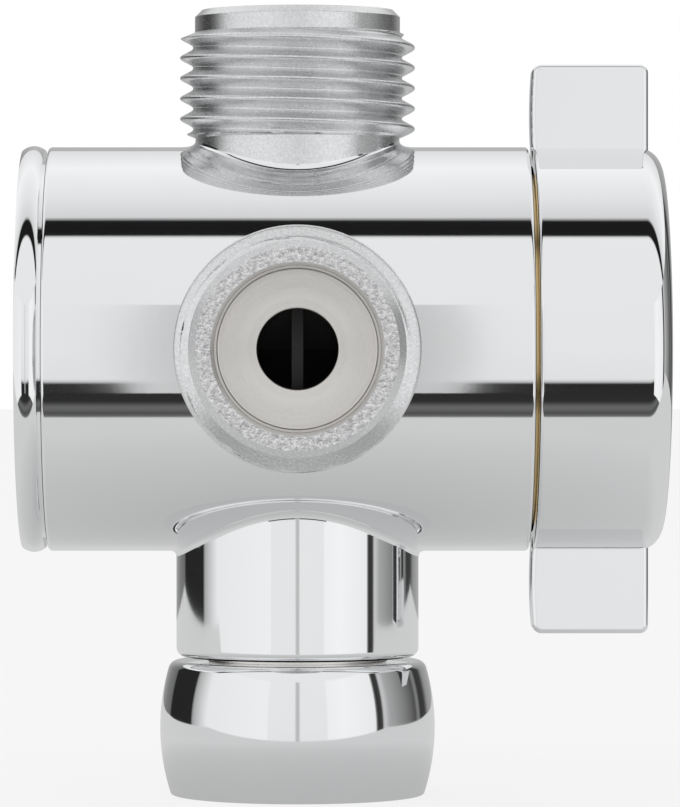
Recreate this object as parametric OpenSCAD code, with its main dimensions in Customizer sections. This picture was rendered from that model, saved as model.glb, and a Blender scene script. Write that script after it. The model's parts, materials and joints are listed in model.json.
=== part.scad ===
// Three-way shower diverter tee: one swivel inlet below, one threaded outlet on top and one in front.
// The handle on the right turns an inner rotor whose sprung rubber pad shuts one outlet at a time.
// Millimetres. Z is up, the handle is on +X and the front outlet points along -Y.
// The origin is on the inlet axis, in the plane of the swivel nut's lower rim.

/* [Barrel] */
// Height of the barrel's axis above the swivel nut's lower rim
axis_h = 39.7; // [39.3:0.1:41]
// Outer radius of the barrel
barrel_r = 18; // [17.9:0.1:19]
// Distance from the outlet axis to the barrel's left end face
barrel_left = 22.15; // [22:0.05:24]
// Distance from the outlet axis to the barrel's right end face
barrel_right = 20.55; // [20.45:0.05:20.65]
// Radius of the chamber in which the rotor turns
chamber_r = 12; // [11.9:0.05:12.1]

/* [Outlets] */
// Outside diameter of the pipe thread, crest to crest
thread_d = 20.955; // [20.8:0.005:21.1]
// Distance from one thread crest to the next
thread_pitch = 1.814; // [1.7:0.001:1.9]
// Depth of the thread
thread_depth = 1.162; // [1:0.001:1.2]
// Number of crests on an outlet
outlet_crests = 5; // [3:1:5]
// Distance from the barrel's axis to an outlet's end face
outlet_reach = 30.2; // [30:0.1:32]
// Radius of the wide bore behind an outlet's end face
outlet_bore_r = 7; // [6.5:0.1:7.5]
// Distance from the barrel's axis to the bottom of the wide bore
outlet_floor = 14.5; // [14.3:0.1:16]
// Radius of the hole from the wide bore into the chamber
port_hole_r = 3.5; // [3:0.1:3.6]

/* [Inlet] */
// Radius of the plain spigot under the barrel
spigot_r = 10.8; // [10.5:0.1:11]
// Distance from the barrel's axis to the spigot's lower face
spigot_reach = 27.4; // [27.3:0.05:27.5]
// Radius of the water way in the inlet neck
inlet_r = 5.75; // [5:0.05:5.8]
// Outer radius of the neck that carries the swivel nut
neck_r = 7.92; // [7.9:0.01:7.95]

/* [Swivel nut] */
// Height of the swivel nut
nut_h = 11.95; // [11.9:0.01:12]
// Largest radius of the nut's barrel-shaped outside
nut_r = 12.25; // [12.1:0.05:13]
// Radius of the arc that bows the nut's outside
nut_bow_r = 19; // [18:0.5:40]
// Number of thread crests inside the nut
nut_crests = 4; // [2:1:4]

/* [Handle] */
// Gap between the barrel and the handle
handle_gap = 0.35; // [0.3:0.05:0.4]
// Width of the handle along the barrel
handle_w = 11.5; // [11.4:0.1:12]
// Outer radius of the handle's cup
handle_r = 17.95; // [17.8:0.05:19]
// Radius of the rounded end edge of the handle
handle_edge_r = 2.1; // [1.5:0.1:2.2]
// Distance from the axis to the tip of each wing
wing_tip = 25.3; // [23:0.1:30]
// Width of a wing along the barrel
wing_w = 10.3; // [9:0.1:11]
// Thickness of a wing
wing_t = 4; // [3:0.1:5]
// Turn of the handle from its middle place to each stop, in degrees
handle_swing = 45; // [40:1:45]

/* [End cap] */
// Outer radius of the end cap's rim
cap_r = 18.1; // [18:0.05:19]
// Width of the end cap's rim
cap_w = 2; // [1.8:0.1:2.4]
// Width of the dark seam between the end cap and the barrel
cap_seam = 0.3; // [0.2:0.05:0.4]

/* [Seals] */
// Thickness of the three large sealing rings' section
large_ring_t = 1.8; // [1.6:0.1:1.8]
// Thickness of the spindle's two sealing rings' section
small_ring_t = 1.4; // [1.2:0.1:1.4]
// Radius of the rubber pad that shuts an outlet hole
pad_r = 4.35; // [4.2:0.05:4.4]

/* [Hidden] */

$fn = 96;
over = 1;              // how far a cutter runs past a face
slip = 0.05;           // clearance of a turning fit
ring_slip = 0.04;      // clearance between a sealing ring and the wall of another body
seat_slip = 0.03;      // clearance of a piece that sits still in its seat

crest_r = thread_d / 2;
root_r = crest_r - thread_depth;
crest_land = 0.3;      // flat top of a thread crest
flank_w = thread_depth * tan(27.5);

handle_x = barrel_right + handle_gap;
handle_end = handle_x + handle_w;
handle_wall = 1.65;
handle_floor = handle_end - 2.2;       // inner face of the handle's end wall

socket_r = 14.2;       // threaded sockets at both ends of the barrel
socket_left = 14;      // where the left socket ends inside the barrel
socket_right = 12.6;

rotor_r = chamber_r - slip;
rotor_half = 11.8;     // half length of the rotor
web_x = 6.2;           // where the rotor's end discs begin
pad_angle = 135;       // halfway between the front outlet at 180 and the top outlet at 90
pad_pocket_floor = 6.3;
pad_base = 8.9;
bridge_w = 10.9;       // width of the bridge that holds the pad

bonnet_x = 12.7;       // inner face of the bonnet
bonnet_recess_end = 14.6;
nose_end = 23.9;
flange_t = 1.3;
shaft_r = 3.95;
shaft_bore_r = 4;
square_x = 24.1;       // where the spindle's square begins
square_end = 27.4;
square_w = 6;
screw_r = 2;
boss_x = 24.4;         // where the handle's boss begins
boss_r = 7;
seat_x = 28.9;         // seat of the screw's washer in the handle
button_r = 5.5;
button_x = 31.7;
stop_half = 20;        // half width of the stop lug, in degrees
stop_r = 12.5;

neck_end = 8.65;       // lower end of the inlet neck, above the nut's rim
lip_z = 10.1;          // under side of the nut's lip
lip_bore_r = neck_r + 0.08;
wire_r = 0.5;          // wire of the retaining ring
wire_z = lip_z - wire_r - 0.05;
wire_ring_r = 7.9;
washer_z = 6.9;
washer_r = 9.2;
screen_r = 7.6;

// Points on an arc about a centre, from one angle to another
function arc(centre, r, from, to, steps) =
    [for (i = [0:steps]) let (a = from + (to - from) * i / steps)
        [centre[0] + r * cos(a), centre[1] + r * sin(a)]];

// Four points of one thread crest, as radius and place along the axis
function crest(tip_r, foot_r, at) = [
    [foot_r, at - crest_land / 2 - flank_w], [tip_r, at - crest_land / 2],
    [tip_r, at + crest_land / 2], [foot_r, at + crest_land / 2 + flank_w]];

function crests(tip_r, foot_r, first, count) =
    [for (i = [0:count - 1]) each crest(tip_r, foot_r, first + i * thread_pitch)];

module at_barrel() { translate([0, 0, axis_h]) children(); }

// Lays a shape along the barrel: its x becomes Y, its y becomes Z and its z becomes X
module along_barrel() { at_barrel() rotate([90, 0, 90]) children(); }

module toward_front() { at_barrel() rotate([90, 0, 0]) children(); }

// Turns a shape in the barrel's section so that its z points outward at an angle
module outward(angle) { rotate([0, 0, angle]) rotate([0, 90, 0]) children(); }

module revolve(points) { rotate_extrude() polygon(points); }

module ring(mid_r, wire, at) { translate([0, 0, at]) rotate_extrude() translate([mid_r, 0]) circle(r = wire, $fn = 32); }

// A slice of a ring between two angles, along the axis from one place to another
module sector(inner_r, outer_r, middle, half, from, to) {
    far = outer_r * 2;
    intersection() {
        translate([0, 0, from]) difference() {
            cylinder(r = outer_r, h = to - from);
            translate([0, 0, -over]) cylinder(r = inner_r, h = to - from + 2 * over);
        }
        rotate([0, 0, middle]) translate([0, 0, from - over]) linear_extrude(to - from + 2 * over)
            polygon([[0, 0], [far * cos(half), -far * sin(half)], [far, 0], [far * cos(half), far * sin(half)]]);
    }
}

// One outlet as a turned shape, standing on the barrel's axis
module outlet_form() {
    lead_r = root_r - 0.165;
    first_crest = outlet_reach - 2.87 - (outlet_crests - 1) * thread_pitch;
    rim_edge = 0.6;
    revolve(concat([[0, 0], [lead_r - slip, 0], [lead_r - slip, first_crest - 1]],
        crests(crest_r, root_r, first_crest, outlet_crests),
        [[lead_r, outlet_reach - 2], [lead_r, outlet_reach - rim_edge], [lead_r - rim_edge, outlet_reach],
        [0, outlet_reach]]));
}

// The bore of one outlet: a wide bore with a broken edge, then the hole into the chamber
module outlet_cut() {
    edge = 0.3;
    revolve([[0, 0], [port_hole_r, 0], [port_hole_r, outlet_floor], [outlet_bore_r, outlet_floor],
        [outlet_bore_r, outlet_reach - edge], [outlet_bore_r + edge + over, outlet_reach + over],
        [0, outlet_reach + over]]);
}

// The barrel's outside, with both end edges rounded
module barrel_form() {
    edge = 0.35;
    revolve(concat([[0, -barrel_left]], arc([barrel_r - edge, -barrel_left + edge], edge, -90, 0, 4),
        arc([barrel_r - edge, barrel_right - edge], edge, 0, 90, 4), [[0, barrel_right]]));
}

// The chamber and the sockets for the end cap and the bonnet
module chamber_cut() {
    mouth = 0.4;
    revolve([[0, -barrel_left - over], [socket_r + mouth + over, -barrel_left - over],
        [socket_r, -barrel_left + mouth], [socket_r, -socket_left], [chamber_r, -socket_left],
        [chamber_r, socket_right], [socket_r, socket_right], [socket_r, barrel_right + over],
        [0, barrel_right + over]]);
}

// The plain spigot and the grooved neck below it, turned about the inlet axis
module inlet_form() {
    edge = 0.8;
    spigot_z = axis_h - spigot_reach;
    groove_r = wire_ring_r - wire_r - seat_slip;
    groove_h = 2 * wire_r + 0.15;
    groove_z = wire_z - groove_h / 2;
    chamfer = 0.25;
    revolve(concat([[0, neck_end], [neck_r - chamfer, neck_end], [neck_r, neck_end + chamfer],
        [neck_r, groove_z], [groove_r, groove_z], [groove_r, groove_z + groove_h],
        [neck_r, groove_z + groove_h], [neck_r, spigot_z]],
        arc([spigot_r - edge, spigot_z + edge], edge, -90, 0, 6), [[spigot_r, axis_h], [0, axis_h]]));
}

module valve_body() {
    color("gainsboro") difference() {
        union() {
            along_barrel() barrel_form();
            at_barrel() outlet_form();
            toward_front() outlet_form();
            inlet_form();
        }
        along_barrel() chamber_cut();
        at_barrel() outlet_cut();
        toward_front() outlet_cut();
        translate([0, 0, neck_end - over]) cylinder(r = inlet_r, h = axis_h - neck_end);
    }
}

// A chromed cap with a crowned rim, a gently domed face and a hollow plug with a ring groove
module end_cap() {
    crown = 0.37;
    rim_x = -barrel_left - cap_seam;
    crown_r = (pow(cap_w / 2, 2) + crown * crown) / (2 * crown);
    tilt = asin(cap_w / 2 / crown_r);
    plug_r = socket_r - slip;
    plug_end = -socket_left - 1;
    land_r = 16.8;
    face_x = rim_x - cap_w;
    dome = 0.4;
    dome_in = cap_r - crown;
    ring_x = plug_end - 1.8;
    groove_r = socket_r - large_ring_t - ring_slip - seat_slip;
    hollow_r = 10.2;
    color("gainsboro") along_barrel() revolve(concat(
        [for (i = [0:6]) let (q = i / 6) [dome_in * q, face_x - dome * (1 - q * q)]],
        arc([cap_r - crown_r, rim_x - cap_w / 2], crown_r, -tilt, tilt, 8),
        [[land_r, rim_x], [land_r, -barrel_left], [plug_r, -barrel_left], [plug_r, ring_x - 1.05],
        [groove_r, ring_x - 1.05], [groove_r, ring_x + 1.05], [plug_r, ring_x + 1.05],
        [plug_r, plug_end], [hollow_r, plug_end], [hollow_r, face_x + 2.4], [0, face_x + 2.4]]));
}

module end_cap_o_ring() {
    wire = large_ring_t / 2;
    color("black") along_barrel() ring(socket_r - seat_slip - wire, wire, -socket_left - 2.8);
}

// The brass gland screwed into the barrel's right end, with the spindle bore, a nose and the stop lug
module bonnet() {
    flange_r = 15.6;
    undercut_r = 13.4;
    plug_r = socket_r - slip;
    groove_r = socket_r - large_ring_t - ring_slip - seat_slip;
    ring_x = bonnet_x + 2.3;
    recess_r = 6.3;
    nose_r = 6.2;
    flange_x = barrel_right + flange_t;
    color("goldenrod") along_barrel() difference() {
        union() {
            revolve([[shaft_bore_r, bonnet_recess_end], [recess_r, bonnet_recess_end], [recess_r, bonnet_x],
                [plug_r, bonnet_x], [plug_r, ring_x - 1.05], [groove_r, ring_x - 1.05],
                [groove_r, ring_x + 1.05], [plug_r, ring_x + 1.05], [plug_r, barrel_right - 0.7],
                [undercut_r, barrel_right - 0.7], [undercut_r, barrel_right], [flange_r, barrel_right],
                [flange_r, flange_x], [nose_r, flange_x], [nose_r, nose_end], [shaft_bore_r, nose_end]]);
            sector(9, stop_r, 0, stop_half, flange_x - 0.3, nose_end);
        }
        for (side = [-1, 1]) translate([0, side * 12.8, flange_x - 0.9]) cylinder(r = 1.1, h = 2);
    }
}

module bonnet_o_ring() {
    wire = large_ring_t / 2;
    color("black") along_barrel() ring(socket_r - seat_slip - wire, wire, bonnet_x + 2.3);
}

// The split wire ring in the neck's groove, on which the nut's lip bears
module nut_retaining_ring() {
    gap = 30;
    color("silver") translate([0, 0, wire_z]) rotate([0, 0, gap / 2]) rotate_extrude(angle = 360 - gap)
        translate([wire_ring_r, 0]) circle(r = wire_r, $fn = 24);
}

// The rubber washer between the neck and the pipe, with a step for the screen
module inlet_washer() {
    top = neck_end - 0.03;
    step = 0.45;
    color("dimgray") revolve([[5.9, washer_z], [washer_r, washer_z], [washer_r, top],
        [screen_r + slip, top], [screen_r + slip, top - step], [5.9, top - step]]);
}

// The square-mesh screen that keeps grit out of the valve
module inlet_screen() {
    step = 1.25;
    gap = 0.85;
    reach = 5.3;
    count = 4;
    color("lightgray") translate([0, 0, neck_end - 0.44]) linear_extrude(0.36) difference() {
        circle(r = screen_r);
        for (i = [-count:count], j = [-count:count])
            if (norm([i, j]) * step + gap / 2 < reach) translate([i * step, j * step]) square(gap, center = true);
    }
}

// The nut turns freely on the neck: a bowed outside, a lip above and the pipe thread inside
module swivel_nut() {
    middle = 6;
    corner = 0.9;
    low = asin(middle / nut_bow_r);
    bow_x = nut_r - nut_bow_r;
    corner_z = nut_h - corner;
    high = asin((corner_z - middle) / (nut_bow_r - corner));
    corner_x = bow_x + (nut_bow_r - corner) * cos(high);
    first_crest = 1.1;
    last_crest = first_crest + (nut_crests - 1) * thread_pitch;
    cavity_r = 9.7;
    female_root = crest_r + 0.02;
    color("gainsboro") revolve(concat(
        arc([bow_x, middle], nut_bow_r, -low, high, 16),
        arc([corner_x, corner_z], corner, high + 8, 90, 7),
        [[lip_bore_r, nut_h], [lip_bore_r, lip_z], [cavity_r, lip_z]],
        [[cavity_r, last_crest + 1]],
        [for (i = [nut_crests - 1:-1:0]) let (at = first_crest + i * thread_pitch) each [
            [i == nut_crests - 1 ? cavity_r : female_root, at + crest_land / 2 + flank_w * (
                i == nut_crests - 1 ? (cavity_r - root_r) / (female_root - root_r) : 1)],
            [root_r, at + crest_land / 2], [root_r, at - crest_land / 2],
            [female_root, at - crest_land / 2 - flank_w]]],
        [[female_root + 0.15, 0]]));
}

// The moulded rotor: two grooved end discs, a thin rib, a bridge with the pad's pocket and a rear bridge
module rotor() {
    disc_ring_x = 9.1;
    groove_r = chamber_r - ring_slip - large_ring_t - seat_slip;
    rib_t = 1;
    rib_r = 10.3;
    rear_half = 27;
    slot_w = 2.6;
    slot_l = 8;
    color("#2b2b2d") along_barrel() difference() {
        union() {
            for (side = [-1, 1]) scale_z(side) revolve([[0, web_x], [rotor_r, web_x],
                [rotor_r, disc_ring_x - 1.05], [groove_r, disc_ring_x - 1.05],
                [groove_r, disc_ring_x + 1.05], [rotor_r, disc_ring_x + 1.05],
                [rotor_r, rotor_half], [0, rotor_half]]);
            revolve([[rib_r, -rib_t / 2], [rotor_r, -rib_t / 2], [rotor_r, rib_t / 2], [rib_r, rib_t / 2]]);
            intersection() {
                cylinder(r = rotor_r, h = 2 * web_x + 0.4, center = true);
                rotate([0, 0, pad_angle]) translate([5.4 + 10, 0, 0])
                    cube([20, bridge_w, 2 * web_x + 0.4], center = true);
            }
            sector(10.2, rotor_r, 0, rear_half, -web_x - 0.2, web_x + 0.2);
        }
        outward(pad_angle) translate([0, 0, pad_pocket_floor]) cylinder(r = pad_r + slip, h = 10);
        translate([0, 0, rotor_half - 3]) linear_extrude(4) square([slot_l, slot_w], center = true);
        translate([0, 0, -rotor_half - over]) cylinder(r = 7, h = 3.4 + over);
    }
}

module scale_z(side) { if (side < 0) mirror([0, 0, 1]) children(); else children(); }

module rotor_o_ring(side) {
    wire = large_ring_t / 2;
    color("black") along_barrel() ring(chamber_r - ring_slip - wire, wire, side * 9.1);
}
module rotor_o_ring_left() { rotor_o_ring(-1); }
module rotor_o_ring_right() { rotor_o_ring(1); }

// The rubber pad, its face curved to the chamber's wall, with a stub that centres the spring
module seal_pad() {
    color("#1c1c1e") along_barrel() intersection() {
        cylinder(r = rotor_r, h = 4 * pad_r, center = true);
        outward(pad_angle) union() {
            translate([0, 0, pad_base]) cylinder(r = pad_r, h = 6);
            translate([0, 0, pad_base - 0.9]) cylinder(r = 1.8, h = 2);
        }
    }
}

// A short coil spring behind the pad, swept as rings of points along a helix
module seal_pad_spring() {
    wire = 0.22;
    coil_r = 2.6;
    turns = 3;
    steps = 20;
    sides = 8;
    low = pad_pocket_floor + wire + 0.02;
    rise = pad_base - wire - 0.02 - low;
    count = turns * steps;
    points = [for (i = [0:count], j = [0:sides - 1]) let (a = 360 * i / steps, b = 360 * j / sides,
        r = coil_r + wire * cos(b)) [r * cos(a), r * sin(a), low + rise * i / count + wire * sin(b)]];
    walls = [for (i = [0:count - 1], j = [0:sides - 1]) let (k = (j + 1) % sides)
        [i * sides + j, i * sides + k, (i + 1) * sides + k, (i + 1) * sides + j]];
    ends = [[for (j = [sides - 1:-1:0]) j], [for (j = [0:sides - 1]) count * sides + j]];
    color("silver") along_barrel() outward(pad_angle) polyhedron(points, concat(walls, ends));
}

// The brass spindle: a tang in the rotor, a thrust collar, two ring grooves and a square for the handle
module spindle() {
    collar_x = 12.2;
    collar_end = 13.75;
    tang_w = 2.5;
    tang_l = 7.7;
    groove_r = shaft_bore_r - ring_slip - small_ring_t - seat_slip;
    groove_half = 0.85;
    screw_depth = 6.4;
    color("goldenrod") along_barrel() difference() {
        union() {
            revolve(concat([[0, collar_x], [6, collar_x], [6, collar_end], [shaft_r, collar_end]],
                [for (at = spindle_ring_places()) each [[shaft_r, at - groove_half], [groove_r, at - groove_half],
                    [groove_r, at + groove_half], [shaft_r, at + groove_half]]],
                [[shaft_r, square_x], [0, square_x]]));
            intersection() {
                cylinder(r = shaft_r, h = square_end);
                translate([0, 0, (square_x + square_end) / 2 - 0.25])
                    cube([square_w, square_w, square_end - square_x + 0.5], center = true);
            }
            translate([0, 0, collar_x - 1.6 + 0.05]) cube([tang_l, tang_w, 3.2 + 0.1], center = true);
        }
        translate([0, 0, square_end - screw_depth]) cylinder(r = screw_r, h = screw_depth + over);
    }
}

function spindle_ring_places() = [16.6, 19.4];

module spindle_o_ring(at) {
    wire = small_ring_t / 2;
    color("black") along_barrel() ring(shaft_bore_r - ring_slip - wire, wire, at);
}
module spindle_o_ring_inner() { spindle_o_ring(spindle_ring_places()[0]); }
module spindle_o_ring_outer() { spindle_o_ring(spindle_ring_places()[1]); }

module thrust_washer() {
    inner_r = shaft_r + slip;
    color("white") along_barrel() revolve([[inner_r, 13.77], [6, 13.77], [6, 14.55], [inner_r, 14.55]]);
}

// One wing as a flat tab with all its outer edges broken, reaching out from inside the cup's wall
module wing() {
    edge = 0.45;
    foot = handle_r - 1.2;
    half = wing_t / 2;
    far = handle_x + wing_w;
    intersection() {
        translate([0, 0, handle_x]) linear_extrude(wing_w) polygon([[foot, -half], [wing_tip - edge, -half],
            [wing_tip, -half + edge], [wing_tip, half - edge], [wing_tip - edge, half], [foot, half]]);
        rotate([90, 0, 0]) linear_extrude(wing_t + 2, center = true) polygon([[foot, handle_x],
            [wing_tip - edge, handle_x], [wing_tip, handle_x + edge], [wing_tip, far - edge],
            [wing_tip - edge, far], [foot, far]]);
        rotate([0, 90, 0]) translate([0, 0, foot]) linear_extrude(wing_tip) polygon([
            [-handle_x, -half + edge], [-handle_x - edge, -half], [-far + edge, -half], [-far, -half + edge],
            [-far, half - edge], [-far + edge, half], [-handle_x - edge, half], [-handle_x, half - edge]]);
    }
}

// The chromed handle: a cup with two wings, a boss with a square socket, and ribs that meet the stop lug
module handle() {
    edge = 0.35;
    dome = 0.25;
    corner_r = handle_r - handle_edge_r;
    corner_x = handle_end - handle_edge_r;
    cavity_r = handle_r - handle_wall;
    rib_t = 2.4;
    rib_x = barrel_right + flange_t + 0.35;
    rib_inner = 6.6;
    stop_rib = stop_half + handle_swing + 0.8 + asin(rib_t / 2 / 9);
    socket_w = square_w + 0.1;
    color("gainsboro") along_barrel() difference() {
        union() {
            difference() {
                revolve(concat([[0, handle_x], [handle_r - edge, handle_x]],
                    arc([handle_r - edge, handle_x + edge], edge, -90, 0, 4),
                    arc([corner_r, corner_x], handle_edge_r, 0, 88, 10),
                    [for (i = [4:-1:0]) let (q = i / 5) [corner_r * q, handle_end + dome * (1 - q * q)]]));
                translate([0, 0, handle_x - over]) cylinder(r = cavity_r, h = handle_floor - handle_x + over);
            }
            for (side = [90, 270]) rotate([0, 0, side]) wing();
            translate([0, 0, boss_x]) cylinder(r = boss_r, h = handle_floor - boss_x + 0.2);
            for (a = [stop_rib, -stop_rib, 180]) rotate([0, 0, a])
                translate([rib_inner, -rib_t / 2, rib_x])
                    cube([cavity_r + 0.3 - rib_inner, rib_t, handle_floor + 0.2 - rib_x]);
        }
        translate([0, 0, boss_x - over]) cylinder(r = shaft_r + 0.1, h = over + 0.05);
        translate([0, 0, boss_x - over]) linear_extrude(27.6 - boss_x + over) square(socket_w, center = true);
        cylinder(r = screw_r + 0.15, h = seat_x + over);
        translate([0, 0, seat_x]) cylinder(r = button_r + 0.08, h = 6);
    }
}

// A pan-head screw with a cross recess, turned into the spindle
module handle_screw() {
    head_x = seat_x + 0.75;
    head_h = 1.8;
    head_r = 3.7;
    tip = 22.2;
    color("silver") along_barrel() difference() {
        revolve(concat([[0, tip], [screw_r - 0.5, tip], [screw_r - 0.03, tip + 0.5], [screw_r - 0.03, head_x]],
            [[head_r, head_x], [head_r, head_x + 0.9]], arc([head_r - 0.9, head_x + 0.9], 0.9, 10, 90, 5),
            [[0, head_x + head_h]]));
        for (a = [0, 90]) rotate([0, 0, a]) translate([0, 0, head_x + head_h - 0.5])
            cube([3.6, 0.8, 2.4], center = true);
    }
}

module handle_screw_washer() {
    color("silver") along_barrel() revolve([[screw_r + 0.15, seat_x + 0.02], [4.4, seat_x + 0.02],
        [4.4, seat_x + 0.73], [screw_r + 0.15, seat_x + 0.73]]);
}

// The push-in cover over the screw, with a domed face and a hollow skirt
module handle_button() {
    top = handle_end + 0.75;
    skirt_x = 30.3;
    skirt_r = 4.6;
    color("gainsboro") along_barrel() revolve(concat(
        [[0, button_x], [skirt_r, button_x], [skirt_r, skirt_x], [button_r - 0.2, skirt_x],
        [button_r - 0.05, skirt_x + 0.5], [button_r - 0.2, skirt_x + 0.9], [button_r - 0.2, button_x],
        [button_r, button_x], [button_r, handle_end + 0.1]],
        [for (i = [5:-1:0]) let (q = i / 6) [button_r * q, top - 0.65 * q * q]]));
}

valve_body();
end_cap();
end_cap_o_ring();
bonnet();
bonnet_o_ring();
nut_retaining_ring();
inlet_washer();
inlet_screen();
swivel_nut();
rotor();
rotor_o_ring_left();
rotor_o_ring_right();
seal_pad();
seal_pad_spring();
spindle();
spindle_o_ring_inner();
spindle_o_ring_outer();
thrust_washer();
handle();
handle_screw();
handle_screw_washer();
handle_button();
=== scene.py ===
import json
import math
import bpy
import numpy as np
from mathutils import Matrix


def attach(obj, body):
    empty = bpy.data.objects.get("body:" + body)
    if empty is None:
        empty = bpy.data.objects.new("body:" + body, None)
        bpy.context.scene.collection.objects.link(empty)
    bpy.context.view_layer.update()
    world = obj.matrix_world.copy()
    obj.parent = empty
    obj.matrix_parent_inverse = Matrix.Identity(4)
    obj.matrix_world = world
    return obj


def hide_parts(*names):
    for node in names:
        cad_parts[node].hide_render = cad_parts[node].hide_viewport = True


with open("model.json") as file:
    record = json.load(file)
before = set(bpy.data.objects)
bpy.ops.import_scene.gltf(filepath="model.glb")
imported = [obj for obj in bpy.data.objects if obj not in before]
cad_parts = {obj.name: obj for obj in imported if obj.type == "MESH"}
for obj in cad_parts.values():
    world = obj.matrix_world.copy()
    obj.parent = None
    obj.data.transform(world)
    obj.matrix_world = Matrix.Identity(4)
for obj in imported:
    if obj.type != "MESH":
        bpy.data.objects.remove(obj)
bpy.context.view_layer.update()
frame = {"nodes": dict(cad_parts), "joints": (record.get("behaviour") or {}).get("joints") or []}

# The meshes below are worked out in millimetres and in the frame's own axes.
mm = 0.001
axisHeight = frame["joints"][0]["pos_m"][2] / mm   # the barrel's axis above the nut's rim
fullTurn = 2 * math.pi


def lengthOf(vectors):
    return np.sqrt((vectors ** 2).sum(-1, keepdims=True))


def softMin(a, b, width):
    # the smaller of two values, rounded over where they cross
    mix = np.clip(0.5 + 0.5 * (b - a) / width, 0, 1)
    return b + (a - b) * mix - width * mix * (1 - mix)


def softMax(a, b, width):
    return -softMin(-a, -b, width)


def axes(origin, side, lift, along):
    return {"origin": np.array(origin, float), "side": np.array(side, float),
            "lift": np.array(lift, float), "along": np.array(along, float)}


# A port stands out from the barrel at an angle, counted from the back upwards.
# Its own angle runs from +X round through the next part of the barrel.
def portAxes(barrelAngle):
    c = round(math.cos(math.radians(barrelAngle)), 9)
    s = round(math.sin(math.radians(barrelAngle)), 9)
    return axes((0, 0, axisHeight), (1, 0, 0), (0, -s, c), (0, c, s))


barrelAxes = axes((0, 0, axisHeight), (0, 1, 0), (0, 0, 1), (1, 0, 0))
inletAxes = axes((0, 0, 0), (1, 0, 0), (0, 1, 0), (0, 0, 1))


def spot(ax, radius, angle, along):
    r, t, a = np.broadcast_arrays(radius, angle, along)
    return (ax["origin"] + (r * np.cos(t))[..., None] * ax["side"]
            + (r * np.sin(t))[..., None] * ax["lift"] + a[..., None] * ax["along"])


def pointing(ax, outward, angle, along):
    return spot(ax, outward, angle, along) - ax["origin"]


# A sheet is a grid of points with the true normal at each of them.
def sheet(points, normals, finish, uv=None):
    rows, columns = points.shape[:2]
    if uv is None:
        uv = np.stack(np.meshgrid(np.arange(columns), np.arange(rows)), -1).astype(float)
    return {"points": points, "normals": normals / lengthOf(normals), "finish": finish, "uv": uv}


# Profiles are made of corners (radius, place along the axis, rounding). The metal is on the left of the way.
def profile(corners, closed=False, stepAngle=12):
    points = np.array([c[:2] for c in corners], float)
    rounding = [c[2] if len(c) > 2 else 0 for c in corners]
    count = len(points)
    if closed:
        points = np.vstack([points, points[:1], points[1:2]])
        rounding = rounding + rounding[:2]
    starts = []
    arcs = []
    for i in range(1, len(points) - 1):
        before = points[i] - points[i - 1]
        after = points[i + 1] - points[i]
        before = before / np.hypot(*before)
        after = after / np.hypot(*after)
        turn = math.atan2(before[0] * after[1] - before[1] * after[0], before @ after)
        if rounding[i] and abs(turn) > 1e-6:
            cut = rounding[i] * math.tan(abs(turn) / 2)
            side = math.copysign(1, turn)
            centre = points[i] - before * cut + side * rounding[i] * np.array([-before[1], before[0]])
            steps = max(2, math.ceil(abs(math.degrees(turn)) / stepAngle))
            first = math.atan2(-before[0], before[1])
            facing = first + turn * np.linspace(0, 1, steps + 1)
            normals = np.stack([np.cos(facing), np.sin(facing)], -1)
            arcs.append((centre + side * rounding[i] * normals, normals))
            starts.append((points[i] - before * cut, points[i] + after * cut))
        else:
            arcs.append(None)
            starts.append((points[i], points[i]))
    runs = []
    here = starts[-1][1] if closed else points[0]
    for i in range(len(arcs)):
        there = starts[i][0]
        if np.hypot(*(there - here)) > 1e-6:
            runs.append(lineRun(here, there))
        if arcs[i] is not None:
            runs.append(arcs[i])
        here = starts[i][1]
    if not closed:
        runs.append(lineRun(here, points[-1]))
    return runs if not closed else runs[:2 * count]


def lineRun(start, end, steps=1):
    points = np.linspace(start, end, steps + 1)
    way = (points[-1] - points[0]) / np.hypot(*(points[-1] - points[0]))
    return points, np.tile([way[1], -way[0]], (steps + 1, 1))


def arcRun(centre, radius, start, end, steps):
    angle = np.radians(np.linspace(start, end, steps + 1))
    facing = np.stack([np.cos(angle), np.sin(angle)], -1)
    return np.array(centre) + radius * facing, facing * math.copysign(1, end - start)


# Turns the runs of a profile about an axis.
def turned(runs, ax, angles, finish):
    sheets = []
    travelled = 0.0
    for points, normals in runs:
        steps = np.concatenate([[0], np.cumsum(np.hypot(*np.diff(points, axis=0).T))])
        uv = np.stack(np.meshgrid(angles / fullTurn, travelled + steps), -1)
        travelled += steps[-1]
        place = spot(ax, points[:, :1], angles[None, :], points[:, 1:])
        facing = pointing(ax, normals[:, :1], angles[None, :], normals[:, 1:])
        sheets.append(sheet(place, facing, finish, uv))
    return sheets


# A surface given by a function of two values. Its normals come from small steps both ways.
def surface(shape, u, v, finish, outward):
    small = 1e-4
    points = shape(u, v)
    across = shape(u + small, v) - shape(u - small, v)
    down = shape(u, v + small) - shape(u, v - small)
    normals = np.cross(across, down)
    flip = np.sign((normals * outward(points)).sum(-1, keepdims=True))
    return sheet(points, normals * flip, finish)


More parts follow.
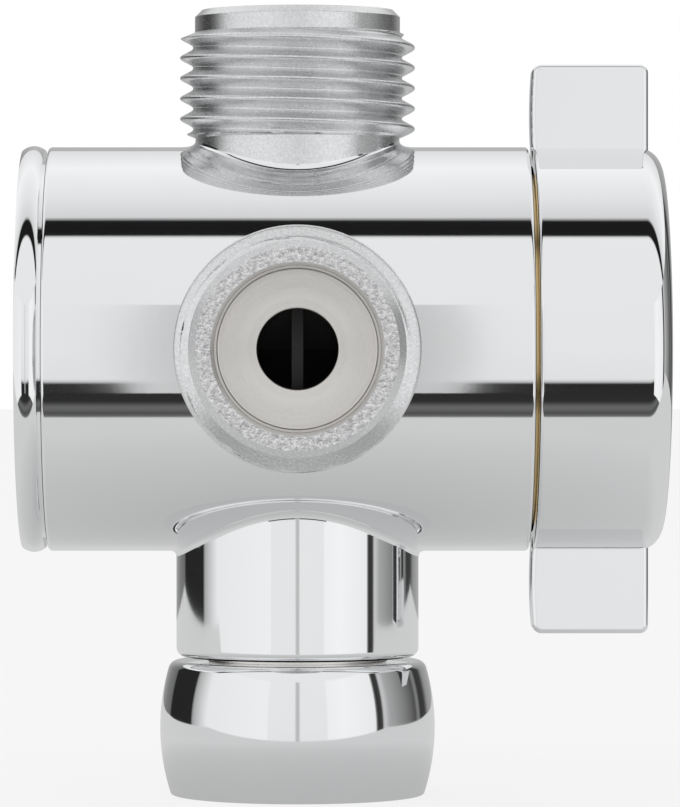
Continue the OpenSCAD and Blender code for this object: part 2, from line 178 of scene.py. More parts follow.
# Joins the sheets into one closed mesh, with the exact normals kept at each corner.
def buildPiece(name, sheets, finishes):
    weldStep = 2e-4
    points = np.concatenate([s["points"].reshape(-1, 3) for s in sheets])
    normals = np.concatenate([s["normals"].reshape(-1, 3) for s in sheets])
    uv = np.concatenate([s["uv"].reshape(-1, 2) for s in sheets])
    quads = []
    finishOf = []
    start = 0
    for s in sheets:
        rows, columns = s["points"].shape[:2]
        grid = start + np.arange(rows * columns).reshape(rows, columns)
        part = np.stack([grid[:-1, :-1], grid[1:, :-1], grid[1:, 1:], grid[:-1, 1:]], -1).reshape(-1, 4)
        quads.append(part)
        finishOf.append(np.full(len(part), finishes.index(s["finish"])))
        start += rows * columns
    quads = np.concatenate(quads)
    finishOf = np.concatenate(finishOf)
    keys = np.floor(points / weldStep + 0.37).astype(np.int64)
    _, first, welded = np.unique(keys, axis=0, return_index=True, return_inverse=True)
    welded = welded.reshape(-1)
    ids = welded[quads]
    crossing = (ids[:, 0] == ids[:, 2]) | (ids[:, 1] == ids[:, 3])
    keep = ids != np.roll(ids, -1, axis=1)
    good = (keep.sum(1) > 2) & ~crossing
    quads, ids, keep, finishOf = quads[good], ids[good], keep[good], finishOf[good]
    corner = points[quads]
    facing = np.cross(corner[:, 2] - corner[:, 0], corner[:, 3] - corner[:, 1])
    wrong = (facing * normals[quads].sum(1)).sum(1) < 0
    for table in (quads, ids, keep):
        table[wrong] = table[wrong][:, ::-1]
    flat = keep.reshape(-1)
    loops = quads.reshape(-1)[flat]
    mesh = bpy.data.meshes.new(name)
    mesh.vertices.add(len(first))
    mesh.vertices.foreach_set("co", (points[first] * mm).ravel())
    mesh.loops.add(len(loops))
    mesh.loops.foreach_set("vertex_index", ids.reshape(-1)[flat].astype(np.int32))
    mesh.polygons.add(len(quads))
    mesh.polygons.foreach_set("loop_start", np.concatenate([[0], np.cumsum(keep.sum(1))[:-1]]).astype(np.int32))
    mesh.polygons.foreach_set("material_index", finishOf.astype(np.int32))
    mesh.polygons.foreach_set("use_smooth", np.ones(len(quads), bool))
    mesh.uv_layers.new(name="turning")
    mesh.uv_layers["turning"].data.foreach_set("uv", uv[loops].ravel())
    mesh.update(calc_edges=True)
    exact = mesh.attributes.new("exactNormal", "FLOAT_VECTOR", "CORNER")
    exact.data.foreach_set("vector", normals[loops].ravel().astype(np.float32))
    for finish in finishes:
        mesh.materials.append(finish)
    piece = bpy.data.objects.new(name, mesh)
    bpy.context.scene.collection.objects.link(piece)
    return piece


# Sets the shading from the kept normals, after any cutting and joining.
def useExactNormals(piece):
    mesh = piece.data
    count = len(mesh.loops)
    kept = np.zeros(count * 3, np.float32)
    mesh.attributes["exactNormal"].data.foreach_get("vector", kept)
    kept = kept.reshape(-1, 3)
    starts = np.zeros(len(mesh.polygons), np.int32)
    mesh.polygons.foreach_get("loop_start", starts)
    totals = np.diff(np.append(starts, count))
    faceNormals = np.zeros(len(mesh.polygons) * 3, np.float32)
    mesh.polygons.foreach_get("normal", faceNormals)
    perLoop = np.repeat(faceNormals.reshape(-1, 3), totals, axis=0)
    flip = np.where((kept * perLoop).sum(1, keepdims=True) < 0, -1, 1)
    kept = kept * flip
    kept = kept / np.maximum(lengthOf(kept), 1e-6)
    mesh.normals_split_custom_set(kept.tolist())
    mesh.attributes.remove(mesh.attributes["exactNormal"])
    edges = np.zeros(len(mesh.loops), np.int32)
    mesh.loops.foreach_get("edge_index", edges)
    open_ = (np.bincount(edges, minlength=len(mesh.edges)) != 2).sum()
    print(piece.name, len(mesh.polygons), "faces,", open_, "edges not shared by two")


# Cuts or joins a second closed mesh, which is used up.
def combine(piece, other, operation):
    modifier = piece.modifiers.new(operation, "BOOLEAN")
    modifier.operation = operation
    modifier.solver = "EXACT"
    modifier.object = other
    bpy.context.view_layer.update()
    made = bpy.data.meshes.new_from_object(piece.evaluated_get(bpy.context.evaluated_depsgraph_get()))
    piece.modifiers.clear()
    piece.data = made
    bpy.data.objects.remove(other)


def stand(piece, body, slotName, *nodes):
    useExactNormals(piece)
    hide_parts(*nodes)
    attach(piece, body)


# Shader helpers

def addNode(tree, kind, inputs=None, **settings):
    node = tree.nodes.new(kind)
    for key, value in settings.items():
        setattr(node, key, value)
    for key, value in (inputs or {}).items():
        if isinstance(value, bpy.types.NodeSocket):
            tree.links.new(value, node.inputs[key])
        else:
            node.inputs[key].default_value = value
    return node


def calc(tree, operation, *values, clamp=False):
    node = addNode(tree, "ShaderNodeMath", operation=operation, use_clamp=clamp)
    for i, value in enumerate(values):
        if isinstance(value, bpy.types.NodeSocket):
            tree.links.new(value, node.inputs[i])
        else:
            node.inputs[i].default_value = value
    return node.outputs[0]


def blendValue(tree, factor, a, b):
    return addNode(tree, "ShaderNodeMix", {"Factor": factor, "A": a, "B": b}, data_type="FLOAT").outputs[0]


def blendColor(tree, factor, a, b):
    node = addNode(tree, "ShaderNodeMix", data_type="RGBA")
    for socket, value in ((node.inputs[0], factor), (node.inputs[6], a), (node.inputs[7], b)):
        if isinstance(value, bpy.types.NodeSocket):
            tree.links.new(value, socket)
        else:
            socket.default_value = value
    return node.outputs[2]


def makeGroup(name, inputs, outputs):
    group = bpy.data.node_groups.new(name, "ShaderNodeTree")
    for label, kind, default in inputs:
        socket = group.interface.new_socket(label, in_out="INPUT", socket_type=kind)
        if default is not None:
            socket.default_value = default
    for label, kind in outputs:
        group.interface.new_socket(label, in_out="OUTPUT", socket_type=kind)
    return group, group.nodes.new("NodeGroupInput").outputs, group.nodes.new("NodeGroupOutput").inputs


floatKind = "NodeSocketFloat"
vectorKind = "NodeSocketVector"


def makePolishGroup():
    # slow waves left by the polishing wheel, with a faint grain under the plating
    group, given, out = makeGroup("polishWaves", [
        ("Vector", vectorKind, None), ("Wave Size", floatKind, 0.006), ("Grain Size", floatKind, 0.0004),
        ("Grain Share", floatKind, 0.1)], [("Height", floatKind), ("Smudge", floatKind)])
    waves = addNode(group, "ShaderNodeTexNoise", {
        "Vector": given["Vector"], "Scale": calc(group, "DIVIDE", 1, given["Wave Size"]),
        "Detail": 1.0, "Roughness": 0.4})
    grain = addNode(group, "ShaderNodeTexNoise", {
        "Vector": given["Vector"], "Scale": calc(group, "DIVIDE", 1, given["Grain Size"]), "Detail": 2.0})
    height = blendValue(group, given["Grain Share"], waves.outputs[0], grain.outputs[0])
    group.links.new(height, out["Height"])
    cloud = addNode(group, "ShaderNodeTexNoise", {
        "Vector": given["Vector"], "Scale": calc(group, "DIVIDE", 0.4, given["Wave Size"]),
        "Detail": 4.0, "Roughness": 0.6})
    smudge = addNode(group, "ShaderNodeMapRange", {
        "Value": cloud.outputs[0], "From Min": 0.35, "From Max": 0.75})
    group.links.new(smudge.outputs[0], out["Smudge"])
    return group


def makeLatheGroup():
    # tool marks that run round a turned face: Along and Out are the two lengths of its profile
    group, given, out = makeGroup("latheMarks", [
        ("Along", floatKind, 0.0), ("Out", floatKind, 0.0), ("Spacing", floatKind, 0.0001),
        ("Wobble", vectorKind, None)], [("Height", floatKind), ("Shade", floatKind)])
    drift = addNode(group, "ShaderNodeTexNoise", {"Vector": given["Wobble"], "Scale": 300.0})
    bend = calc(group, "MULTIPLY", drift.outputs[0], 0.00004)
    place = addNode(group, "ShaderNodeCombineXYZ", {
        "X": calc(group, "DIVIDE", calc(group, "ADD", given["Along"], bend), given["Spacing"]),
        "Y": calc(group, "DIVIDE", given["Out"], given["Spacing"])})
    fine = addNode(group, "ShaderNodeTexNoise", {"Vector": place.outputs[0], "Scale": 1.0, "Detail": 2.0})
    wide = addNode(group, "ShaderNodeTexNoise", {"Vector": place.outputs[0], "Scale": 0.13, "Detail": 3.0})
    group.links.new(fine.outputs[0], out["Height"])
    group.links.new(wide.outputs[0], out["Shade"])
    return group


def makeGrainGroup():
    # grain of a cast, moulded or matt surface, from two sizes of noise
    group, given, out = makeGroup("surfaceGrain", [
        ("Vector", vectorKind, None), ("Size", floatKind, 0.0002), ("Roughness", floatKind, 0.6),
        ("Contrast", floatKind, 1.0)], [("Height", floatKind), ("Speck", floatKind)])
    noise = addNode(group, "ShaderNodeTexNoise", {
        "Vector": given["Vector"], "Scale": calc(group, "DIVIDE", 1, given["Size"]),
        "Detail": 3.0, "Roughness": given["Roughness"]})
    high = calc(group, "ADD", 0.5, calc(group, "DIVIDE", 0.25, given["Contrast"]))
    low = calc(group, "SUBTRACT", 0.5, calc(group, "DIVIDE", 0.25, given["Contrast"]))
    speck = addNode(group, "ShaderNodeMapRange", {
        "Value": noise.outputs[0], "From Min": low, "From Max": high})
    group.links.new(noise.outputs[0], out["Height"])
    group.links.new(speck.outputs[0], out["Speck"])
    return group


polishGroup = makePolishGroup()
latheGroup = makeLatheGroup()
grainGroup = makeGrainGroup()
print("shader groups made")


def newFinish(name, metallic, **plain):
    finish = bpy.data.materials.new(name)
    finish.use_nodes = True
    tree = finish.node_tree
    shader = tree.nodes["Principled BSDF"]
    shader.inputs["Metallic"].default_value = metallic
    for key, value in plain.items():
        shader.inputs[key.replace("_", " ")].default_value = value
    where = addNode(tree, "ShaderNodeTexCoord").outputs["Object"]
    return finish, tree, shader, where


def useGroup(tree, group, inputs):
    node = addNode(tree, "ShaderNodeGroup", node_tree=group)
    for key, value in inputs.items():
        if isinstance(value, bpy.types.NodeSocket):
            tree.links.new(value, node.inputs[key])
        else:
            node.inputs[key].default_value = value
    return node.outputs


def addBump(tree, shader, height, depth, strength=1.0):
    bump = addNode(tree, "ShaderNodeBump", {"Height": height, "Distance": depth, "Strength": strength})
    tree.links.new(bump.outputs[0], shader.inputs["Normal"])


def setColor(tree, shader, factor, a, b):
    tree.links.new(blendColor(tree, factor, (*a, 1), (*b, 1)), shader.inputs["Base Color"])


def setRoughness(tree, shader, factor, a, b):
    tree.links.new(blendValue(tree, factor, a, b), shader.inputs["Roughness"])


def makePolishedChrome(name, look):
    finish, tree, shader, where = newFinish(name, 1.0)
    polish = useGroup(tree, polishGroup, {
        "Vector": where, "Wave Size": look["waveSize"], "Grain Size": look["grainSize"],
        "Grain Share": look["grainShare"]})
    addBump(tree, shader, polish["Height"], look["depth"])
    setColor(tree, shader, polish["Smudge"], look["color"], look["smudgeColor"])
    setRoughness(tree, shader, polish["Smudge"], look["roughness"], look["smudgeRoughness"])
    return finish


def makeThreadPlating(look):
    # chrome over a cut thread: satin on the flanks, with drag marks that follow the cut
    finish, tree, shader, where = newFinish("threadPlating", 1.0)
    grain = useGroup(tree, grainGroup, {
        "Vector": where, "Size": look["grainSize"], "Roughness": 0.7, "Contrast": look["contrast"]})
    addBump(tree, shader, grain["Height"], look["depth"])
    setColor(tree, shader, grain["Speck"], look["color"], look["darkColor"])
    setRoughness(tree, shader, grain["Speck"], look["roughness"], look["roughest"])
    return finish


def makeFacePlating(look):
    # the sawn end face took the plating roughly, so it glitters in dark and light specks
    finish, tree, shader, where = newFinish("facePlating", 1.0)
    grain = useGroup(tree, grainGroup, {
        "Vector": where, "Size": look["speckSize"], "Roughness": 0.75, "Contrast": look["contrast"]})
    addBump(tree, shader, grain["Height"], look["depth"])
    setColor(tree, shader, grain["Speck"], look["color"], look["darkColor"])
    setRoughness(tree, shader, grain["Speck"], look["roughness"], look["roughest"])
    return finish


def makeTurnedNickel(look):
    # thin plating over turned brass: the tool marks spread every reflection across them
    finish, tree, shader, where = newFinish("turnedNickel", 1.0, Anisotropic=look["spread"])
    uv = addNode(tree, "ShaderNodeUVMap", uv_map="turning").outputs[0]
    split = addNode(tree, "ShaderNodeSeparateXYZ", {"Vector": uv}).outputs
    marks = useGroup(tree, latheGroup, {
        "Out": calc(tree, "MULTIPLY", split[1], mm), "Spacing": look["spacing"], "Wobble": where})
    addBump(tree, shader, marks["Height"], look["depth"])
    setColor(tree, shader, marks["Shade"], look["color"], look["darkColor"])
    setRoughness(tree, shader, marks["Shade"], look["roughness"], look["roughest"])
    tangent = addNode(tree, "ShaderNodeTangent", direction_type="UV_MAP", uv_map="turning")
    tree.links.new(tangent.outputs[0], shader.inputs["Tangent"])
    return finish


def makeTurnedMetal(name, look):
    # bar stock turned about the barrel's axis
    finish, tree, shader, where = newFinish(name, 1.0)
    split = addNode(tree, "ShaderNodeSeparateXYZ", {"Vector": where}).outputs
    fromAxis = calc(tree, "SUBTRACT", split["Z"], axisHeight * mm)
    out = calc(tree, "POWER", calc(tree, "ADD", calc(tree, "MULTIPLY", fromAxis, fromAxis),
                                   calc(tree, "MULTIPLY", split["Y"], split["Y"])), 0.5)
    marks = useGroup(tree, latheGroup, {
        "Along": split["X"], "Out": out, "Spacing": look["spacing"], "Wobble": where})
    addBump(tree, shader, marks["Height"], look["depth"])
    setColor(tree, shader, marks["Shade"], look["color"], look["darkColor"])
    setRoughness(tree, shader, marks["Shade"], look["roughness"], look["roughest"])
    return finish


def makeMoulded(name, look, **plain):
    finish, tree, shader, where = newFinish(name, 0.0, **plain)
    grain = useGroup(tree, grainGroup, {
        "Vector": where, "Size": look["grainSize"], "Roughness": 0.6, "Contrast": 0.8})
    addBump(tree, shader, grain["Height"], look["depth"])
    setColor(tree, shader, grain["Speck"], look["color"], look["otherColor"])
    setRoughness(tree, shader, grain["Speck"], look["roughness"], look["roughest"])
    return finish


chromeLook = {
    "color": (0.905, 0.91, 0.915), "smudgeColor": (0.88, 0.888, 0.897),
    "roughness": 0.035, "smudgeRoughness": 0.06,
    "waveSize": 0.009, "grainSize": 0.0005, "grainShare": 0.02, "depth": 0.000004,
}
threadLook = {
    "color": (0.86, 0.865, 0.87), "darkColor": (0.72, 0.725, 0.73), "roughness": 0.24, "roughest": 0.36,
    "grainSize": 0.00022, "contrast": 1.4, "depth": 0.000012,
}
faceLook = {
    "color": (0.9, 0.9, 0.905), "darkColor": (0.5, 0.5, 0.51), "roughness": 0.14, "roughest": 0.3,
    "speckSize": 0.00042, "contrast": 1.6, "depth": 0.00011,
}
nickelLook = {
    "color": (0.86, 0.845, 0.82), "darkColor": (0.78, 0.765, 0.74), "roughness": 0.22, "roughest": 0.32,
    "spacing": 0.00012, "depth": 0.0000025, "spread": 0.8,
}
brassLook = {
    "color": (0.79, 0.6, 0.3), "darkColor": (0.66, 0.47, 0.22), "roughness": 0.2, "roughest": 0.34,
    "spacing": 0.00018, "depth": 0.000003,
}
steelLook = {
    "color": (0.66, 0.66, 0.67), "darkColor": (0.55, 0.55, 0.565), "roughness": 0.2, "roughest": 0.34,
    "spacing": 0.00014, "depth": 0.000002,
}
acetalLook = {
    "color": (0.026, 0.026, 0.027), "otherColor": (0.036, 0.035, 0.035), "roughness": 0.42, "roughest": 0.58,
    "grainSize": 0.00025, "depth": 0.000006,
}
rubberLook = {
    "color": (0.018, 0.018, 0.019), "otherColor": (0.03, 0.03, 0.031), "roughness": 0.62, "roughest": 0.8,
    "grainSize": 0.00012, "depth": 0.000004,
}
whiteLook = {
    "color": (0.83, 0.83, 0.81), "otherColor": (0.78, 0.78, 0.755), "roughness": 0.38, "roughest": 0.5,
    "grainSize": 0.0002, "depth": 0.000003,
}

polishedChrome = makePolishedChrome("polishedChrome", chromeLook)
handleChrome = makePolishedChrome("handleChrome", dict(chromeLook, waveSize=0.012))
threadPlating = makeThreadPlating(threadLook)
facePlating = makeFacePlating(faceLook)
turnedNickel = makeTurnedNickel(nickelLook)
turnedBrass = makeTurnedMetal("turnedBrass", brassLook)
brightSteel = makeTurnedMetal("brightSteel", steelLook)
blackAcetal = makeMoulded("blackAcetal", acetalLook, Specular_IOR_Level=0.5)
sealRubber = makeMoulded("sealRubber", rubberLook)
whiteAcetal = makeMoulded("whiteAcetal", whiteLook)
print("finishes made")

# The valve body: one casting, machined and plated
body = {
    "barrelRadius": 18.0, "leftEnd": -22.15, "rightEnd": 20.55, "endEdge": 0.35,
    "chamberRadius": 12.0, "socketRadius": 14.2, "socketLeft": -14.0, "socketRight": 12.6, "socketMouth": 0.4,
    "reach": 30.2, "neckRadius": 9.1, "leadRadius": 9.15, "leadLength": 2.0, "leadChamfer": 0.6,
    "neckTop": 18.8, "boreRadius": 7.0, "boreEdge": 0.3, "boreFloor": 14.5, "holeRadius": 3.5,
    "portFilletOut": 1.3, "portFilletUp": 0.6,
    "spigotRadius": 10.8, "spigotReach": 27.4, "spigotEdge": 0.8, "spigotFillet": 0.6,
    "inletRadius": 5.75, "inletNeck": 7.92, "neckEnd": 8.65, "grooveRadius": 7.37, "grooveLow": 8.975,
    "grooveHigh": 10.125, "divisions": 192,
}
# The outlets' pipe thread. hand is 1 for the slope that the picture shows and -1 for the other one.
thread = {
    "crestRadius": 10.4775, "depth": 1.162, "pitch": 1.814, "land": 0.3, "flankAngle": 27.5,
    "rounding": 0.22, "hand": 1, "topCrest": 27.33, "topCrestAngle": 90.0,
    "frontCrest": 28.5, "frontCrestAngle": 220.0, "cut": 2.5, "cutRounding": 0.12,
}


def crestShare(offset, t):
    # how much of the thread's height is left at an offset from a crest's middle
    flank = t["depth"] * math.tan(math.radians(t["flankAngle"]))
    share = (t["land"] / 2 + flank - np.abs(offset)) / flank
    return softMin(softMax(share, 0, t["rounding"]), 1, t["rounding"])


def crestRows(t, low, high, crest):
    # places along the axis where the thread's grid has its rows, for the angle of the known crest
    flank = t["depth"] * math.tan(math.radians(t["flankAngle"]))
    edge = t["land"] / 2
    half = np.concatenate([np.linspace(0, edge, 3)[:-1], np.linspace(edge, edge + flank, 7)[:-1],
                           np.linspace(edge + flank, t["pitch"] / 2, 3)])
    offsets = np.unique(np.round(np.concatenate([-half, half]), 9))[:-1]
    turns = np.arange(math.floor((low - crest) / t["pitch"]) - 1, math.ceil((high - crest) / t["pitch"]) + 2)
    return (crest + turns[:, None] * t["pitch"] + offsets[None, :]).ravel()


# A threaded zone between two places on the axis. radiusAt gives the radius for a place and a crest offset.
def threadZone(ax, t, low, high, crest, crestAngle, radiusAt, inward, finish):
    angles = np.linspace(0, fullTurn, body["divisions"] + 1)
    rise = t["hand"] * t["pitch"] * (angles - math.radians(crestAngle)) / fullTurn
    rows = crestRows(t, low, high, crest)
    along = np.clip(rows[:, None] + rise[None, :], low, high)
    angle = np.broadcast_to(angles[None, :], along.shape)

    def radius(a, b):
        phase = a - crest - t["hand"] * t["pitch"] * (b - math.radians(crestAngle)) / fullTurn
        offset = phase - t["pitch"] * np.round(phase / t["pitch"])
        return radiusAt(a, offset)

    small = 2e-4
    middle = radius(along, angle)
    slope = (radius(along + small, angle) - radius(along - small, angle)) / (2 * small)
    turn = (radius(along, angle + small) - radius(along, angle - small)) / (2 * small)
    points = spot(ax, middle, angle, along)
    round_ = pointing(ax, np.ones_like(angle), angle + math.pi / 2, np.zeros_like(angle))
    normals = (pointing(ax, np.ones_like(angle), angle, -slope)
               - (turn / middle)[..., None] * round_) * (-1 if inward else 1)
    return sheet(points, normals, finish)


def barrelPoint(radius, x, angle):
    x, angle = np.broadcast_arrays(x, angle)
    return np.stack([x, radius * np.cos(angle), axisHeight + radius * np.sin(angle)], -1)


# A quarter of a cylinder about the barrel's axis, with a round hole for a port or none.
def quarter(radius, barrelAngle, outline, finish, inward, rows=10):
    around = math.radians(barrelAngle)
    half = radius * math.pi / 4
    if outline is None:
        step = np.tan(np.linspace(-math.pi / 4, math.pi / 4, body["divisions"] // 4 + 1))
        x, angle = np.meshgrid(half * step, around + math.pi / 4 * step)
    else:
        turn = np.linspace(0, fullTurn, body["divisions"] + 1)
        c, s = np.cos(turn), np.sin(turn)
        wide = np.maximum(np.abs(c), np.abs(s))
        nearX, nearAngle = outline(turn)
        share = np.linspace(0, 1, rows + 1)[:, None] ** 1.3
        x = nearX + (half * c / wide - nearX) * share
        angle = around + nearAngle + (math.pi / 4 * s / wide - nearAngle) * share
    points = barrelPoint(radius, x, angle)
    normals = barrelPoint(1.0, np.zeros_like(x), angle) - np.array([0, 0, axisHeight])
    return sheet(points, normals * (-1 if inward else 1), finish)


def quarterAngles():
    step = math.pi / 4 * np.tan(np.linspace(-math.pi / 4, math.pi / 4, body["divisions"] // 4 + 1))
    corners = [math.radians(a) + step[:-1] for a in (0, 90, 180, 270)]
    return np.concatenate(corners + [[corners[0][0] + fullTurn]])


def strip(radius, start, end, finish, inward):
    angles = quarterAngles()
    x = np.linspace(start, end, 4)[:, None]
    points = barrelPoint(radius, x, angles[None, :])
    normals = barrelPoint(1.0, 0 * x, angles[None, :]) - np.array([0, 0, axisHeight])
    return sheet(points, normals * (-1 if inward else 1), finish)


# The concave root between a port and the barrel. It touches both without a crease.
def rootFillet(barrelAngle, radius, out, up, finish):
    ax = portAxes(barrelAngle)

    def corner(turn):
        y = (radius + out) * np.sin(turn)
        height = np.sqrt(body["barrelRadius"] ** 2 - y ** 2)
        slope = -y * np.sin(turn) / height
        return height, height - slope * out

    def shape(turn, share):
        height, meet = corner(turn)
        r = (1 - share) ** 2 * radius + 2 * share * (1 - share) * radius + share ** 2 * (radius + out)
        a = (1 - share) ** 2 * (meet + up) + 2 * share * (1 - share) * meet + share ** 2 * height
        return spot(ax, r, turn, a)

    turn, share = np.meshgrid(np.linspace(0, fullTurn, body["divisions"] + 1), np.linspace(0, 1, 9))
    fillet = surface(shape, turn, share, finish, lambda p: p - ax["origin"])
    top = corner(turn[0])[1] + up
    return fillet, top


def contactOutline(radius, out):
    def outline(turn):
        return (radius + out) * np.cos(turn), np.arcsin((radius + out) * np.sin(turn) / body["barrelRadius"])
    return outline


def holeOutline(radius):
    def outline(turn):
        return radius * np.cos(turn), np.arcsin(radius * np.sin(turn) / body["chamberRadius"])
    return outline


def wallTo(ax, radius, ends, stop, finish, inward, rows=3):
    # a round wall from a curved end, which differs with the angle, to a flat one
    turn = np.linspace(0, fullTurn, body["divisions"] + 1)
    share = np.linspace(0, 1, rows)[:, None]
    along = ends[None, :] + (stop - ends[None, :]) * share
    points = spot(ax, radius, turn[None, :], along)
    normals = pointing(ax, np.ones_like(along), turn[None, :], np.zeros_like(along))
    return sheet(points, normals * (-1 if inward else 1), finish)


def outletThreadRadius(along, offset):
    root = thread["crestRadius"] - thread["depth"]
    cutRadius = root + thread["depth"] * crestShare(offset, thread)
    shoulder = body["reach"] - body["leadLength"]
    fromNeck = body["neckRadius"] + (along - body["neckTop"]) * thread["cut"]
    fromLead = body["leadRadius"] + (shoulder - along) * thread["cut"]
    return softMin(softMin(cutRadius, fromNeck, thread["cutRounding"]), fromLead, thread["cutRounding"])


def outletSheets(barrelAngle, crest, crestAngle):
    ax = portAxes(barrelAngle)
    turn = np.linspace(0, fullTurn, body["divisions"] + 1)
    fillet, top = rootFillet(barrelAngle, body["neckRadius"], body["portFilletOut"], body["portFilletUp"],
                             polishedChrome)
    reach = body["reach"]
    shoulder = reach - body["leadLength"]
    sheets = [fillet, wallTo(ax, body["neckRadius"], top, body["neckTop"], threadPlating, False)]
    sheets.append(threadZone(ax, thread, body["neckTop"], shoulder, crest, crestAngle,
                             outletThreadRadius, False, threadPlating))
    lead = body["leadRadius"]
    sheets += turned(profile([(lead, shoulder), (lead, reach - body["leadChamfer"], 0.15),
                              (lead - body["leadChamfer"], reach)]), ax, turn, threadPlating)
    sheets += turned(profile([(lead - body["leadChamfer"], reach), (body["boreRadius"] + body["boreEdge"], reach)]),
                     ax, turn, facePlating)
    bore = body["boreRadius"]
    hole = body["holeRadius"]
    floor = body["boreFloor"]
    sheets += turned(profile([(bore + body["boreEdge"], reach), (bore, reach - body["boreEdge"], 0.1),
                              (bore, floor, 0.15), (hole, floor, 0.15), (hole, floor - 0.8)]),
                     ax, turn, turnedNickel)
    inner = np.sqrt(body["chamberRadius"] ** 2 - (hole * np.sin(turn)) ** 2)
    sheets.append(wallTo(ax, hole, inner, floor - 0.8, turnedNickel, True))
    return sheets


def inletSheets():
    ax = portAxes(270)
    turn = np.linspace(0, fullTurn, body["divisions"] + 1)
    fillet, top = rootFillet(270, body["spigotRadius"], body["spigotFillet"], body["spigotFillet"],
                             polishedChrome)
    outside = body["spigotRadius"]
    reach = body["spigotReach"]
    edgeStart = reach - body["spigotEdge"]
    sheets = [fillet, wallTo(ax, outside, top, edgeStart - 0.2, polishedChrome, False)]
    sheets += turned(profile([(outside, edgeStart - 0.2), (outside, reach, body["spigotEdge"]),
                              (body["inletNeck"], reach)]), ax, turn, polishedChrome)
    end = axisHeight - body["neckEnd"]
    neck = body["inletNeck"]
    sheets += turned(profile([
        (neck, reach), (neck, axisHeight - body["grooveHigh"]),
        (body["grooveRadius"], axisHeight - body["grooveHigh"]),
        (body["grooveRadius"], axisHeight - body["grooveLow"]),
        (neck, axisHeight - body["grooveLow"]), (neck, end, 0.25), (body["inletRadius"], end, 0.2),
        (body["inletRadius"], end - 2)]), ax, turn, turnedNickel)
    inner = np.sqrt(body["chamberRadius"] ** 2 - (body["inletRadius"] * np.sin(turn)) ** 2)
    sheets.append(wallTo(ax, body["inletRadius"], inner, end - 2, turnedNickel, True))
    return sheets


def barrelSheets():
    radius = body["barrelRadius"]
    chamber = body["chamberRadius"]
    half = radius * math.pi / 4
    innerHalf = chamber * math.pi / 4
    edge = body["endEdge"]
    sheets = [quarter(radius, 0, None, polishedChrome, False), quarter(chamber, 0, None, turnedNickel, True)]
    for angle in (90, 180):
        sheets.append(quarter(radius, angle, contactOutline(body["neckRadius"], body["portFilletOut"]),
                              polishedChrome, False))
        sheets.append(quarter(chamber, angle, holeOutline(body["holeRadius"]), turnedNickel, True))
    sheets.append(quarter(radius, 270, contactOutline(body["spigotRadius"], body["spigotFillet"]),
                          polishedChrome, False))
    sheets.append(quarter(chamber, 270, holeOutline(body["inletRadius"]), turnedNickel, True))
    sheets.append(strip(radius, body["leftEnd"] + edge, -half, polishedChrome, False))
    sheets.append(strip(radius, half, body["rightEnd"] - edge, polishedChrome, False))
    sheets.append(strip(chamber, body["socketLeft"], -innerHalf, turnedNickel, True))
    sheets.append(strip(chamber, innerHalf, body["socketRight"], turnedNickel, True))
    socket = body["socketRadius"]
    angles = quarterAngles()
    left = body["leftEnd"]
    right = body["rightEnd"]
    sheets += turned(profile([(chamber, body["socketLeft"]), (socket, body["socketLeft"]),
                              (socket, left + body["socketMouth"]), (socket + body["socketMouth"], left)]),
                     barrelAxes, angles, turnedNickel)
    sheets += turned(profile([(socket + body["socketMouth"], left), (radius, left, edge),
                              (radius, left + edge)]), barrelAxes, angles, polishedChrome)
    sheets += turned(profile([(radius, right - edge), (radius, right, edge), (socket, right)]),
                     barrelAxes, angles, polishedChrome)
    sheets += turned(profile([(socket, right), (socket, body["socketRight"]), (chamber, body["socketRight"])]),
                     barrelAxes, angles, turnedNickel)
    return sheets


def makeValveBody():
    sheets = barrelSheets() + inletSheets()
    sheets += outletSheets(90, thread["topCrest"], thread["topCrestAngle"])
    sheets += outletSheets(180, thread["frontCrest"], thread["frontCrestAngle"])
    piece = buildPiece("plated_valve_body", sheets, [polishedChrome, threadPlating, facePlating, turnedNickel])
    stand(piece, "body", "chrome", "valve_body")


makeValveBody()
print("valve body made")

# The end cap: a crowned rim, a domed face and a hollow plug
cap = {
    "rimRadius": 18.1, "rimStart": -22.45, "rimWidth": 2.0, "crown": 0.37, "dome": 0.4, "landRadius": 16.8,
    "landEnd": -22.15, "plugRadius": 14.15, "plugEnd": -15.0, "grooveMiddle": -16.8, "grooveHalf": 1.05,
    "grooveRadius": 12.33, "hollowRadius": 10.2, "hollowEnd": -22.05, "faceEdge": 0.3,
}


